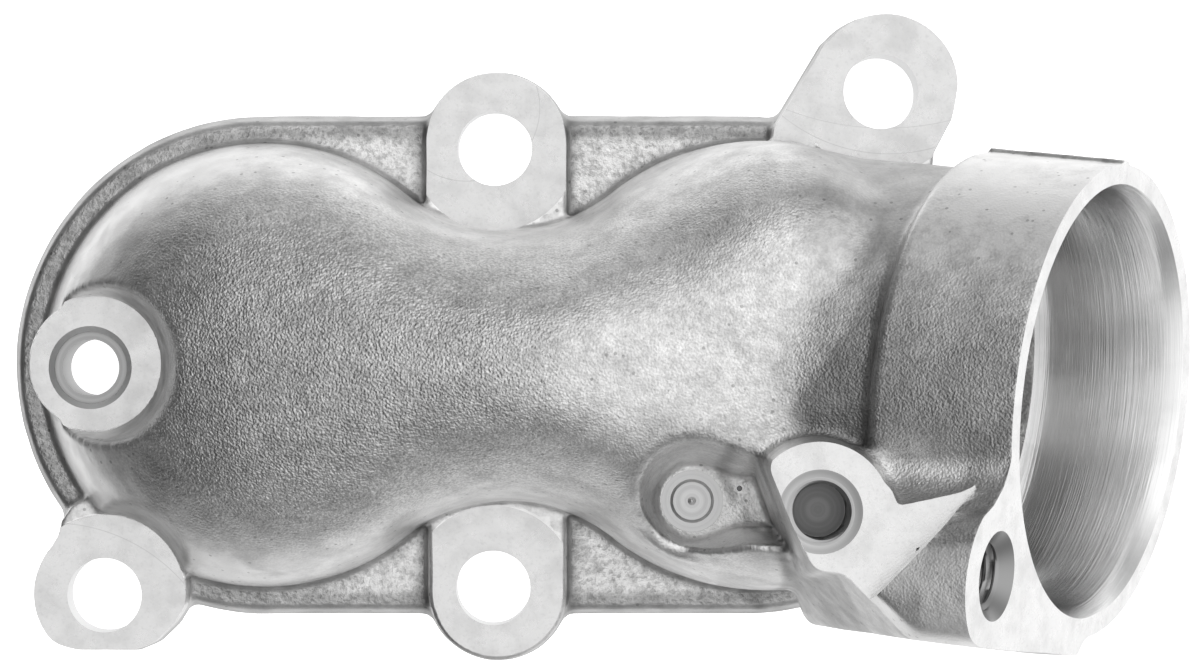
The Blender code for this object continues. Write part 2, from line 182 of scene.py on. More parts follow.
def surface(f, axes, step):
    """Surface nets: one vertex per crossed cell, one quad per crossed grid edge."""
    inside = f < 0
    nx, ny, nz = f.shape
    c = np.zeros((nx - 1, ny - 1, nz - 1), np.int8)
    for i in (0, 1):
        for j in (0, 1):
            for k in (0, 1):
                c += inside[i:nx - 1 + i, j:ny - 1 + j, k:nz - 1 + k]
    cells = np.argwhere((c > 0) & (c < 8))
    index = np.full(c.shape, -1, np.int32)
    index[tuple(cells.T)] = np.arange(len(cells))
    total = np.zeros((len(cells), 3))
    count = np.zeros(len(cells))
    i, j, k = cells.T
    for axis in range(3):
        others = [m for m in range(3) if m != axis]
        for s in (0, 1):
            for t in (0, 1):
                o = [0, 0, 0]
                o[others[0]], o[others[1]] = s, t
                e = list(o)
                e[axis] = 1
                fa = f[i + o[0], j + o[1], k + o[2]]
                fb = f[i + e[0], j + e[1], k + e[2]]
                hit = (fa < 0) != (fb < 0)
                w = np.where(hit, fa / np.where(hit, fa - fb, 1), 0)
                p = np.tile(np.array(o, float), (len(cells), 1))
                p[:, axis] += w
                total += np.where(hit[:, None], p, 0)
                count += hit
    pos = (cells + total / count[:, None]) * step + np.array([a[0] for a in axes])
    quads = []
    for axis in range(3):
        o1, o2 = [m for m in range(3) if m != axis]
        lo = [slice(None)] * 3
        hi = [slice(None)] * 3
        lo[axis], hi[axis] = slice(0, -1), slice(1, None)
        for m in (o1, o2):
            lo[m] = hi[m] = slice(1, -1)
        a, b = inside[tuple(lo)], inside[tuple(hi)]
        e = np.argwhere(a != b)
        flip = a[tuple(e.T)]
        base = e.copy()
        base[:, o1] += 1
        base[:, o2] += 1
        corner = []
        for s, t in ((-1, -1), (0, -1), (0, 0), (-1, 0)):
            q = base.copy()
            q[:, o1] += s
            q[:, o2] += t
            corner.append(index[tuple(q.T)])
        q = np.stack(corner, 1)
        if axis == 1:
            flip = ~flip
        q[~flip] = q[~flip][:, ::-1]
        quads.append(q)
    return pos, np.concatenate(quads)


def sample(f, axes, step, p):
    """Trilinear value of f at points p."""
    q = (p - np.array([a[0] for a in axes])) / step
    q = np.clip(q, 0, np.array(f.shape) - 1.001)
    i = q.astype(int)
    w = q - i
    out = 0
    for a in (0, 1):
        for b in (0, 1):
            for c in (0, 1):
                out = out + (f[i[:, 0] + a, i[:, 1] + b, i[:, 2] + c]
                             * (w[:, 0] if a else 1 - w[:, 0])
                             * (w[:, 1] if b else 1 - w[:, 1])
                             * (w[:, 2] if c else 1 - w[:, 2]))
    return out


def gradient_at(f, axes, step, p):
    g = np.stack([sample(f, axes, step, p + d) - sample(f, axes, step, p - d)
                  for d in np.eye(3) * step * 0.7], 1)
    return g / np.maximum(np.linalg.norm(g, axis=1), 1e-9)[:, None]


def value_noise(p, size, seed):
    """Smooth random field over points p, about -1 to 1, with lumps of `size`."""
    rng = np.random.default_rng(seed)
    lattice = rng.uniform(-1, 1, (24, 24, 24))
    q = p / size + 500.0
    i = np.floor(q).astype(int)
    w = q - i
    w = w * w * (3 - 2 * w)
    out = 0
    for a in (0, 1):
        for b in (0, 1):
            for c in (0, 1):
                out = out + (lattice[(i[:, 0] + a) % 24, (i[:, 1] + b) % 24, (i[:, 2] + c) % 24]
                             * (w[:, 0] if a else 1 - w[:, 0])
                             * (w[:, 1] if b else 1 - w[:, 1])
                             * (w[:, 2] if c else 1 - w[:, 2]))
    return out


# ------------------------------------------------------------- the cast outside
STEP = 0.45
axes, X, Y, Z = grid((-73.2, -41.0, -2.8), (75.6, 41.0, 71.0), STEP)
A, B, T = tube_frame(X, Y, Z)
RHO = np.sqrt(A * A + B * B)

plan = segment(X, Y, (FLANGE_L_X, LOBE_Y), (FLANGE_R_X, LOBE_Y)).astype(F) - F(FLANGE_R)
body = meet(plan + 0.19 * np.maximum(Z, 0), Z - F(FLANGE_T), 1.3)

# waist bosses, with draft; the lower one keeps its cast rounding round the seat
draft = 0.055 * (Z - BOSS_T)
d = segment(X, Y, (-12.6, 23.35), (-12.6, 14.0)).astype(F) - 8.45
top_boss = meet(d + draft, Z - F(BOSS_T + 0.7), 0.5)
d = segment(X, Y, (-12.45, -31.0), (-12.45, -21.0)).astype(F) - 8.35
low_boss = meet(d + draft, Z - F(BOSS_T + 0.12), 0.85)
web_top = meet(meet(np.abs(X + 12.5) - (10.6 + 0.45 * np.abs(Y - 20.0)),
                    -(Y - 10.0), 0.6), Z - F(BOSS_T - 0.15), 0.6)
web_top = np.maximum(web_top, (Y - (17.6 + 0 * Z)))
low_ear_pts = [(-65.2, -22.4), (-65.6, -24.2), (-67.7, -27.7), (-68.6, -31.1), (-67.8, -34.4),
               (-66.0, -36.8), (-63.2, -38.1), (-56.4, -38.1), (-53.8, -37.0), (-51.6, -34.9),
               (-50.2, -32.6), (-50.0, -30.1), (-50.7, -27.2), (-52.0, -22.0), (-56.0, -19.0),
               (-60.8, -19.0), (-64.0, -20.6)]
low_ear = np.minimum(polygon(X, Y, low_ear_pts),
                     meet(np.hypot(X + 60.04, Y + 31.3) - 8.56, -38.1 - Y, 1.6).astype(F))
low_ear = meet(low_ear + 0.05 * (Z - BOSS_T), Z - F(BOSS_T + 0.6), 0.5)
ear_pts = ([(20.9, 22.0), (20.95, 24.9), (27.3, 35.4)] + arc(34.46, 30.05, 8.73, 142, 2, 18)
           + [(42.6, 26.7), (40.3, 22.4), (40.0, 19.0), (34.0, 12.0), (24.0, 12.0)])
ear = meet(polygon(X, Y, ear_pts) + 0.04 * (Z - EAR_T), Z - F(EAR_T + 0.5), 0.4)

shell = dome(X, Y, Z, 0.0, STEP)

# the neck, the tube and its shoulder
neck = meet(RHO - F(NECK_R), -T - F(NECK_L), 2.0)
tube = meet(RHO - F(TUBE_R), -(T + F(TUBE_L - 0.6)), 1.3)
neck = join(neck, tube, 1.8)
flash = np.maximum(np.abs(B - 1.0) - 0.9, np.maximum(A - F(TUBE_R + 0.45), np.maximum(T - 2.2, -17.0 - T)))
flash = np.maximum(flash, 24.0 - A)
neck = join(neck, flash, 0.3)
neck = np.maximum(neck, T - 2.2)

# the lug along the tube, ended by its facet
la, lb = A + 1.7 * np.clip((1.0 - T) / 6.5, 0, 1), B - 0.05 * T
lug_pts = ([(-10.0, 4.0), (-7.6, 23.4), (-9.6, 27.2), (-12.6, 30.6)]
           + arc(-20.8, 27.4, 9.0, 40, 178, 15) + [(-29.8, 25.0), (-29.8, -0.5), (-20.0, -0.5)])
lug = polygon(la, lb, lug_pts)
side = F(LUG_SIDE) - F(LUG_LEAN) * (F(LUG_HOLE[1]) - B) - A
lug = meet(lug, side, 1.5)
lug = np.maximum(lug, T - 2.2)
lug = meet(lug, -T - F(LUG_L), 1.0)
pad_boss = np.hypot(X - PAD_C[0], Y - PAD_C[1]).astype(F) - (PAD_R + 0.045 * (PAD_Z - Z))
pad_boss = np.maximum(pad_boss, np.maximum(Z - F(PAD_Z + 1.2), 22.0 - Z))
lug = join(lug, pad_boss, 1.6)
tongue = polygon(X, Y, [(24.0, -14.0), (24.0, -24.0), (27.3, -26.6), (30.2, -29.4), (42.6, -17.5),
                        (42.0, -17.6), (33.6, -19.3), (32.8, -17.4)])
tongue = np.maximum(tongue + 0 * Z, np.maximum(Z - F(PAD_Z + 1.2), 40.0 - Z))
lug = join(lug, tongue, 0.8)
# the corner beside the facet: a short steep face turns away from it in a soft valley
turn = (X - 27.64) * F(-0.10) - (Y + 26.80) * F(0.995) - 0.093 * (PAD_Z - Z)
end = (X - 27.64) * F(-0.709) - (Y + 26.80) * F(0.680) - 0.186 * (PAD_Z - Z)
lug = cut(lug, meet(-turn.astype(F), -end.astype(F), 0.6), 0.5)
second = (X - 20.9) * F(-0.879) + (Y + 20.25) * F(-0.4765) - 0.115 * (PAD_Z - Z)
lug = meet(lug, second.astype(F), 0.8)
fx, fy = FACET_B[0] - FACET_A[0], FACET_B[1] - FACET_A[1]
fl = math.hypot(fx, fy)
FACET = ((X - FACET_A[0]) * fy - (Y - FACET_A[1]) * fx) / fl      # positive behind the facet
if (50.0 - FACET_A[0]) * fy - (0.0 - FACET_A[1]) * fx > 0:
    FACET = -FACET
FACET = FACET - 0.035 * (PAD_Z - Z)
lug = meet(lug, FACET.astype(F), 0.9)

cast = join(body, shell, 1.25)
cast = join(cast, top_boss, 0.9)
cast = join(cast, low_boss, 0.9)
cast = join(cast, low_ear, 0.9)
cast = join(cast, ear, 0.9)
cast = join(cast, neck, 0.9)

# room left for the cutter round the lower ear
d = np.hypot(X - LOW_EAR_HOLE[0], Y - LOW_EAR_HOLE[1]).astype(F)
room = d - (9.75 + 0.19 * np.maximum(Z - BOSS_T, 0.0))
room = np.maximum(room, (BOSS_T + 0.45) - Z)
ear_room = np.maximum(room, -(X - LOW_EAR_HOLE[0]) * 0.35 - (Y - LOW_EAR_HOLE[1]) * 0.94 + 0.5)
cast = cut(cast, ear_room, 0.5)

# room left for the cutter round the left boss, then the boss itself
d = np.hypot(X - LEFT_BOSS[0], Y - LEFT_BOSS[1]).astype(F)
room = d - (8.05 + 0.17 * np.maximum(Z - LEFT_T, 0.0))
room = np.maximum(room, (LEFT_T + 0.4) - Z)
left_boss = np.maximum(d - (7.8 + 0.03 * (LEFT_T - Z)), Z - F(LEFT_T + 2.0))
cast = join(cast, left_boss, 0.35)
cast = cut(cast, room, 0.8)

cast = join(cast, lug, 1.1)
valley = np.maximum(join(neck, lug, 3.0), np.maximum(28.0 - X, A + 8.0))
cast = np.minimum(cast, valley)

# the recess beside the pad, with its channel
px, py = POCKET_C
up = np.maximum(Z - POCKET_Z, 0.0)
hole = np.hypot(X - px, Y - py).astype(F) - (POCKET_R + DRAFT * up)
run = np.abs(Y - py) - (CHANNEL_W + 0.8 * DRAFT * up)
run = np.maximum(run, px - X)
recess = join(hole, run, 2.2)
# the south rim is a rounded lip
lip = np.maximum(np.abs(recess - 0.75) - 1.15, np.maximum(Y - F(py - 1.5), np.maximum(X - 18.0, 14.0 - Z)))
lip = meet(lip.astype(F), (Z - F(POCKET_Z + 3.4)) + 0.10 * (X - px), 0.9)
cast = join(cast, lip.astype(F), 1.5)
recess = np.maximum(recess, -FACET)
recess = meet(recess, POCKET_Z - Z, 0.9)
cast = cut(cast, recess, 1.1)
cast = np.maximum(cast, -1.9 - Z)

pos, quads = surface(cast.astype(F), axes, STEP)
print("cast skin", len(pos), "points", len(quads), "quads")


def cast_mesh(name, pos, quads):
    me = bpy.data.meshes.new(name)
    me.vertices.add(len(pos))
    me.vertices.foreach_set("co", ((pos + SHIFT) * MM).astype(F).ravel())
    me.loops.add(quads.size)
    me.loops.foreach_set("vertex_index", quads.astype(np.int32).ravel())
    me.polygons.add(len(quads))
    me.polygons.foreach_set("loop_start", np.arange(0, quads.size, 4, dtype=np.int32))
    me.polygons.foreach_set("loop_total", np.full(len(quads), 4, np.int32))
    me.update(calc_edges=True)
    me.validate()
    return me


normal = gradient_at(cast, axes, STEP, pos)
wave = (0.05 * value_noise(pos, 7.0, 3) + 0.028 * value_noise(pos, 2.6, 5)
        + 0.012 * value_noise(pos, 1.2, 9))
pos = pos + normal * wave[:, None]
skin_mesh = cast_mesh("outlet_skin", pos, quads)

# painted shade and painted highlights on the cast skin, worked out per point: painted shade in its creases,
# at the flange's edge, the feet of dome and bosses, the cutter's walls and the facet at the pad


def bump(v, middle, width):
    return np.exp(-((v - middle) / width) ** 2)


px_, py_, pz_ = pos.T
# painted shade in creases: a point with little open space around it is darkened
open_air = sample(cast, axes, STEP, pos + normal * 1.0)
painted_shading = np.clip((0.84 - open_air) / 0.40, 0, 1)
light = 1.0 - 0.42 * painted_shading
# painted shade across the flange's rounded edge, varying with distance from it, and at the feet of the dome and the
# waist bosses
low = np.clip((FLANGE_T + 0.9 - pz_) / 0.6, 0, 1)
edge = segment(px_, py_, (FLANGE_L_X, LOBE_Y), (FLANGE_R_X, LOBE_Y)) - FLANGE_R
rim = np.interp(edge, [-3.1, -2.6, -2.05, -1.45, -0.8, -0.2, 0.3], [1.0, 0.58, 0.56, 0.74, 0.68, 0.58, 0.62])
light *= 1 - low * (1 - rim)
foot = sample(shell.astype(F), axes, STEP, pos)
light *= 1 - 0.36 * bump(foot, 0.25, 0.75) * np.clip((FLANGE_T + 1.9 - pz_) / 1.3, 0, 1)
for f in (top_boss, low_boss):
    light *= 1 - 0.52 * bump(sample(f.astype(F), axes, STEP, pos), 0.4, 0.9) * np.clip((BOSS_T - 0.3 - pz_) / 0.6, 0, 1)
# painted shade on the walls the cutter left round the lower ear and the left boss, the left boss's stronger towards its
# east side
ear_wall = bump(sample(ear_room.astype(F), axes, STEP, pos), 0.0, 0.50) * np.clip((pz_ - BOSS_T - 0.6) / 0.5, 0, 1)
light *= 1 - 0.66 * ear_wall
cutter = np.maximum(ear_wall, bump(sample(room.astype(F), axes, STEP, pos), 0.0, 0.6) * (pz_ > LEFT_T + 0.2))
off_boss = np.hypot(px_ - LEFT_BOSS[0], py_ - LEFT_BOSS[1])
light *= 1 - 0.42 * cutter * (1 - ear_wall) * np.clip((px_ - LEFT_BOSS[0] - 1.0) / 5.0, 0, 1) * np.clip((10.9 - off_boss) / 1.6, 0, 1)
# painted shade along the facet and the short end face beside the pad, and on the steep faces south of the lug
at_facet = np.minimum(np.abs(sample(FACET.astype(F), axes, STEP, pos)), np.abs(sample(second.astype(F), axes, STEP, pos)))
here = (px_ > 13.0) & (px_ < 28.0) & (py_ < -12.5) & (py_ > -33.0) & (pz_ > 9.0) & (pz_ < PAD_Z - 0.1)
light *= 1 - 0.45 * np.clip(1.5 - at_facet / 0.5, 0, 1) * here
at_end = np.abs(sample(end.astype(F), axes, STEP, pos))
here = (px_ > 13.0) & (px_ < 41.0) & (py_ < -26.0) & (pz_ < PAD_Z - 0.1)
at_end = np.clip(1.6 - at_end / 0.5, 0, 1) * here
light *= 1 - 0.42 * at_end
light *= 1 - 0.42 * (1 - at_end) * (px_ > 14.0) * np.clip((-26.5 - py_) / 2.0, 0, 1) * (pz_ < PAD_Z - 0.1) * np.clip((0.30 - normal[:, 2]) / 0.28, 0, 1)
a_, b_, t_ = tube_frame(px_, py_, pz_)
# painted highlight in a band along the tube's upper flank
light *= 1 + 1.1 * bump(py_, -15.3, 1.0) * (px_ > 31.0) * (pz_ > 38.0) * (t_ < -0.5) * (t_ > -20.0)
# painted highlight on the steep west-facing walls at the far left
west = (1 - cutter) * np.clip(-normal[:, 0], 0, 1) * np.clip((-38.0 - px_) / 8.0, 0, 1) * (pz_ > FLANGE_T + 1.2)
light *= 1 + 1.35 * west * np.clip((0.50 - normal[:, 2]) / 0.22, 0, 1)
# painted shade in a patch on the left lobe
light *= 1 - 0.16 * np.exp(-((px_ + 37.0) / 16.0) ** 2 - ((py_ + 7.0) / 11.0) ** 2)
# the recess: painted light on its floor, painted shade on the north rim and a painted highlight on the south one
rec = sample(recess.astype(F), axes, STEP, pos)
high = np.clip((pz_ - POCKET_Z - 2.5) / 2.0, 0, 1) * (px_ < 19.5)
rise = np.clip((pz_ - POCKET_Z - 0.6) / 0.8, 0, 1) * (px_ < 19.5)
light *= 1 + 0.75 * bump(rec, 0.60, 0.45) * rise * np.clip((POCKET_C[1] - 1.5 - py_) / 1.5, 0, 1)
light *= 1 - 0.30 * bump(rec, 0.75, 0.42) * high * np.clip((py_ - POCKET_C[1]) / 1.5, 0, 1) * np.clip((14.5 - px_) / 2.0, 0.3, 1)
light *= 1 + 0.34 * bump(pz_, POCKET_Z, 0.55) * (rec < 1.3) * (px_ > 4.0) * (px_ < 19.0) * (py_ < -14.0)
# painted highlight on the up-facing flange floors, painted shade on the neck behind the roof's crisp edge and painted
# light on the roof's side of it
light *= 1 + 0.20 * low * (normal[:, 2] > 0.93) * np.clip((-2.5 - edge) / 0.5, 0, 1) * np.clip((foot - 1.0) / 0.6, 0, 1)
border = np.interp(py_, [-20.0, -17.4, -12.8, -8.2, -4.3, 1.0, 6.4, 12.0],
                   [23.2, 22.2, 21.3, 21.9, 24.5, 28.4, 31.5, 36.0])
neck_side = np.clip((px_ - border) / 0.7 + 0.5, 0, 1)
upper = (pz_ > 30.0) * (t_ < -TUBE_L + 0.4) * np.clip((9.5 - py_) / 6.0, 0, 1)
light *= 1 - 0.30 * neck_side * upper
light *= 1 + 0.40 * (1 - neck_side) * upper * np.clip((px_ - 21.5) / 5.0, 0, 1)
# one pass of smoothing over neighbouring points
ring = light[quads].mean(1)
total, count = np.zeros(len(pos)), np.zeros(len(pos))
for k in range(4):
    np.add.at(total, quads[:, k], ring)
    np.add.at(count, quads[:, k], 1.0)
light = 0.5 * light + 0.5 * total / np.maximum(count, 1.0)
# this per-point value carries the painted shade and painted highlights into the skin's material
painted_shading = np.clip((2.0 - light) / 1.6, 0, 1)
skin_mesh.attributes.new("painted_shading", "FLOAT", "POINT").data.foreach_set("value", painted_shading.astype(F))
print("painted_shading", float(painted_shading.mean()), float((painted_shading > 0.5).mean()))

# ------------------------------------------------------------- the cored inside
CSTEP = 0.7
caxes, X, Y, Z = grid((-68.13, -34.21, -5.0), (58.0, 27.0, 62.0), CSTEP)
A, B, T = tube_frame(X, Y, Z)
core = dome(X, Y, Z, WALL, CSTEP)
way = np.sqrt(A * A + B * B) - (PASSAGE_R + 0.012 * (T + BORE_L))
way = np.maximum(way, np.maximum(T + BORE_L - 3.0, -T - PASSAGE_L))
core = np.maximum(join(core, way, 3.0), -2.45 - Z)
d = np.hypot(X - LEFT_BOSS[0], Y - LEFT_BOSS[1]).astype(F)
keep = d - np.where(Z < 7.0, 7.2, 7.2 + 0.55 * np.minimum(Z - 7.0, 8.0) + 0.2 * np.maximum(Z - 15.0, 0))
core = cut(core, keep.astype(F), 1.2)
d = segment(X, Y, POCKET_C, (POCKET_C[0] + 5.2, POCKET_C[1])).astype(F)
keep = np.maximum(d - (7.5 + 0.13 * np.maximum(Z - 21.5, 0)), 21.5 - Z)
core = cut(core, keep.astype(F), 1.5)
cpos, cquads = surface(core.astype(F), caxes, CSTEP)
cn = gradient_at(core, caxes, CSTEP, cpos)
cpos = cpos + cn * (0.05 * value_noise(cpos, 6.0, 21))[:, None]


# ---------------------------------------------------------------- cutting tools
def world(p):
    return (np.asarray(p, float) + SHIFT) * MM


def from_tube(p):
    p = np.asarray(p, float)
    return MOUTH + p[..., 0:1] * ACROSS + p[..., 1:2] * OVER + p[..., 2:3] * AXIS


def closed(name, rings, materials, row_material=None):
    """A closed body through rings of equal count; the rows may differ in finish."""
    bm = bmesh.new()
    rows = [[bm.verts.new(world(p)) for p in ring] for ring in rings]
    n = len(rows[0])
    for r, (a, b) in enumerate(zip(rows, rows[1:])):
        for i in range(n):
            f = bm.faces.new((a[i], a[(i + 1) % n], b[(i + 1) % n], b[i]))
            f.material_index = row_material[r + 1] if row_material else 0
    f = bm.faces.new(rows[0])
    f.material_index = row_material[0] if row_material else 0
    f = bm.faces.new(rows[-1][::-1])
    f.material_index = row_material[-1] if row_material else 0
    bmesh.ops.recalc_face_normals(bm, faces=bm.faces[:])
    if bm.calc_volume(signed=True) < 0:
        bmesh.ops.reverse_faces(bm, faces=bm.faces[:])
    me = bpy.data.meshes.new(name)
    bm.to_mesh(me)
    bm.free()
    for m in materials:
        me.materials.append(m)
    ob = bpy.data.objects.new(name, me)
    bpy.context.scene.collection.objects.link(ob)
    return ob


def turned(name, profile, segments, materials, rows=None, at=(0.0, 0.0), tube=False):
    rings = []
    for r, z in profile:
        t = (np.arange(segments) + 0.5) * 2 * math.pi / segments
        p = np.stack([at[0] + r * np.cos(t), at[1] + r * np.sin(t), np.full(segments, z)], 1)
        rings.append(from_tube(p) if tube else p)
    return closed(name, rings, materials, rows)


def prism(name, outline, z0, z1, materials, rows=None, tube=False):
    rings = []
    for z in (z0, z1):
        p = np.array([(x, y, z) for x, y in outline], float)
        rings.append(from_tube(p) if tube else p)
    return closed(name, rings, materials, rows)


def threaded(name, core_r, depth, pitch, z0, z1, mouth, materials, at, tube, segments=56):
    """A tapped hole as a radial field: a helix below a conical mouth."""
    n = int(round((z1 - z0) / (pitch / 7.0)))
    zs = np.linspace(z0, z1, n + 1)
    th = (np.arange(segments) + 0.5) * 2 * math.pi / segments
    rings = []
    for z in zs:
        ph = (z / pitch - th / (2 * math.pi)) % 1.0
        tri = np.clip(1.25 * (1 - np.abs(2 * ph - 1)) - 0.1, 0, 1)
        r = core_r + depth * tri * np.clip((z - z0 - 0.6) / 0.8, 0, 1)
        r = np.maximum(r, mouth(z))
        p = np.stack([at[0] + r * np.cos(th), at[1] + r * np.sin(th), np.full(segments, z)], 1)
        rings.append(from_tube(p) if tube else p)
    rows = [1] + [0 if mouth(0.5 * (a + b)) < core_r + depth * 0.6 else 2
                  for a, b in zip(zs, zs[1:])] + [2]
    return closed(name, rings, materials, rows)


# -------------------------------------------------------------------- materials
class Tree:
    """A small helper round one material's nodes."""

    def __init__(self, name, color, rough, metallic=1.0):
        self.mat = bpy.data.materials.new(name)
        self.mat.use_nodes = True
        self.nt = self.mat.node_tree
        self.sh = self.nt.nodes["Principled BSDF"]
        self.sh.inputs["Base Color"].default_value = (*color, 1.0)
        self.sh.inputs["Roughness"].default_value = rough
        self.sh.inputs["Metallic"].default_value = metallic
        self.sh.inputs["IOR"].default_value = 1.45
        tc = self.new("ShaderNodeTexCoord")
        self.P = tc.outputs["Object"]
        sp = self.new("ShaderNodeSeparateXYZ")
        self.link(self.P, sp.inputs[0])
        self.x, self.y, self.z = sp.outputs
        geo = self.new("ShaderNodeNewGeometry")
        sn = self.new("ShaderNodeSeparateXYZ")
        self.link(geo.outputs["True Normal"], sn.inputs[0])
        self.nz = sn.outputs[2]

    def new(self, kind, **kw):
        n = self.nt.nodes.new(kind)
        for k, v in kw.items():
            setattr(n, k, v)
        return n

    def link(self, a, b):
        self.nt.links.new(a, b)

    def put(self, value, socket):
        if isinstance(value, (int, float)):
            socket.default_value = value
        elif isinstance(value, (tuple, list)):
            socket.default_value = value
        else:
            self.link(value, socket)

    def math(self, op, a, b=0.0, c=0.0, clamp=False):
        n = self.new("ShaderNodeMath", operation=op, use_clamp=clamp)
        self.put(a, n.inputs[0])
        self.put(b, n.inputs[1])
        self.put(c, n.inputs[2])
        return n.outputs[0]

    def add(self, *v):
        out = v[0]
        for w in v[1:]:
            out = self.math("ADD", out, w)
        return out

    def mul(self, *v):
        out = v[0]
        for w in v[1:]:
            out = self.math("MULTIPLY", out, w)
        return out

    def ramp(self, v, a, b, lo=0.0, hi=1.0, smooth=True):
        n = self.new("ShaderNodeMapRange",
                     interpolation_type="SMOOTHSTEP" if smooth else "LINEAR")
        self.put(v, n.inputs["Value"])
        for k, w in (("From Min", a), ("From Max", b), ("To Min", lo), ("To Max", hi)):
            n.inputs[k].default_value = w
        return n.outputs[0]

    def noise(self, size, detail=2.0, rough=0.5, vec=None, warp=0.0):
        n = self.new("ShaderNodeTexNoise")
        self.link(vec or self.P, n.inputs["Vector"])
        n.inputs["Scale"].default_value = 1.0 / size
        n.inputs["Detail"].default_value = detail
        n.inputs["Roughness"].default_value = rough
        n.inputs["Distortion"].default_value = warp
        return n.outputs[0]

    def cells(self, size, feature="F1", randomness=1.0, vec=None):
        n = self.new("ShaderNodeTexVoronoi", feature=feature)
        self.link(vec or self.P, n.inputs["Vector"])
        n.inputs["Scale"].default_value = 1.0 / size
        n.inputs["Randomness"].default_value = randomness
        return n.outputs["Distance"]

    def mapped(self, loc=(0, 0, 0), rot=(0, 0, 0), scale=(1, 1, 1)):
        n = self.new("ShaderNodeMapping")
        self.link(self.P, n.inputs["Vector"])
        n.inputs["Location"].default_value = loc
        n.inputs["Rotation"].default_value = rot
        n.inputs["Scale"].default_value = scale
        return n.outputs[0]

    def dot(self, direction, vec=None):
        n = self.new("ShaderNodeVectorMath", operation="DOT_PRODUCT")
        self.link(vec or self.P, n.inputs[0])
        n.inputs[1].default_value = tuple(direction)
        return n.outputs["Value"]

    def apart(self, centre):
        """Distance in the XY plane from a point given in millimetres."""
        dx = self.math("SUBTRACT", self.x, (centre[0] + SHIFT[0]) * MM)
        dy = self.math("SUBTRACT", self.y, (centre[1] + SHIFT[1]) * MM)
        return self.math("SQRT", self.add(self.mul(dx, dx), self.mul(dy, dy)))

    def color(self, fac, dark, bright):
        n = self.new("ShaderNodeMix", data_type="RGBA")
        self.put(fac, n.inputs[0])
        n.inputs[6].default_value = (*dark, 1)
        n.inputs[7].default_value = (*bright, 1)
        self.link(n.outputs[2], self.sh.inputs["Base Color"])
        return n

    def rough(self, v):
        self.link(v, self.sh.inputs["Roughness"])

    def bump(self, height, strength=1.0):
        n = self.new("ShaderNodeBump")
        n.inputs["Strength"].default_value = strength
        n.inputs["Distance"].default_value = 1.0
        self.link(height, n.inputs["Height"])
        self.link(n.outputs[0], self.sh.inputs["Normal"])


def grey(v, warm=0.0):
    return (v * (1 + warm), v, v * (1 - warm))


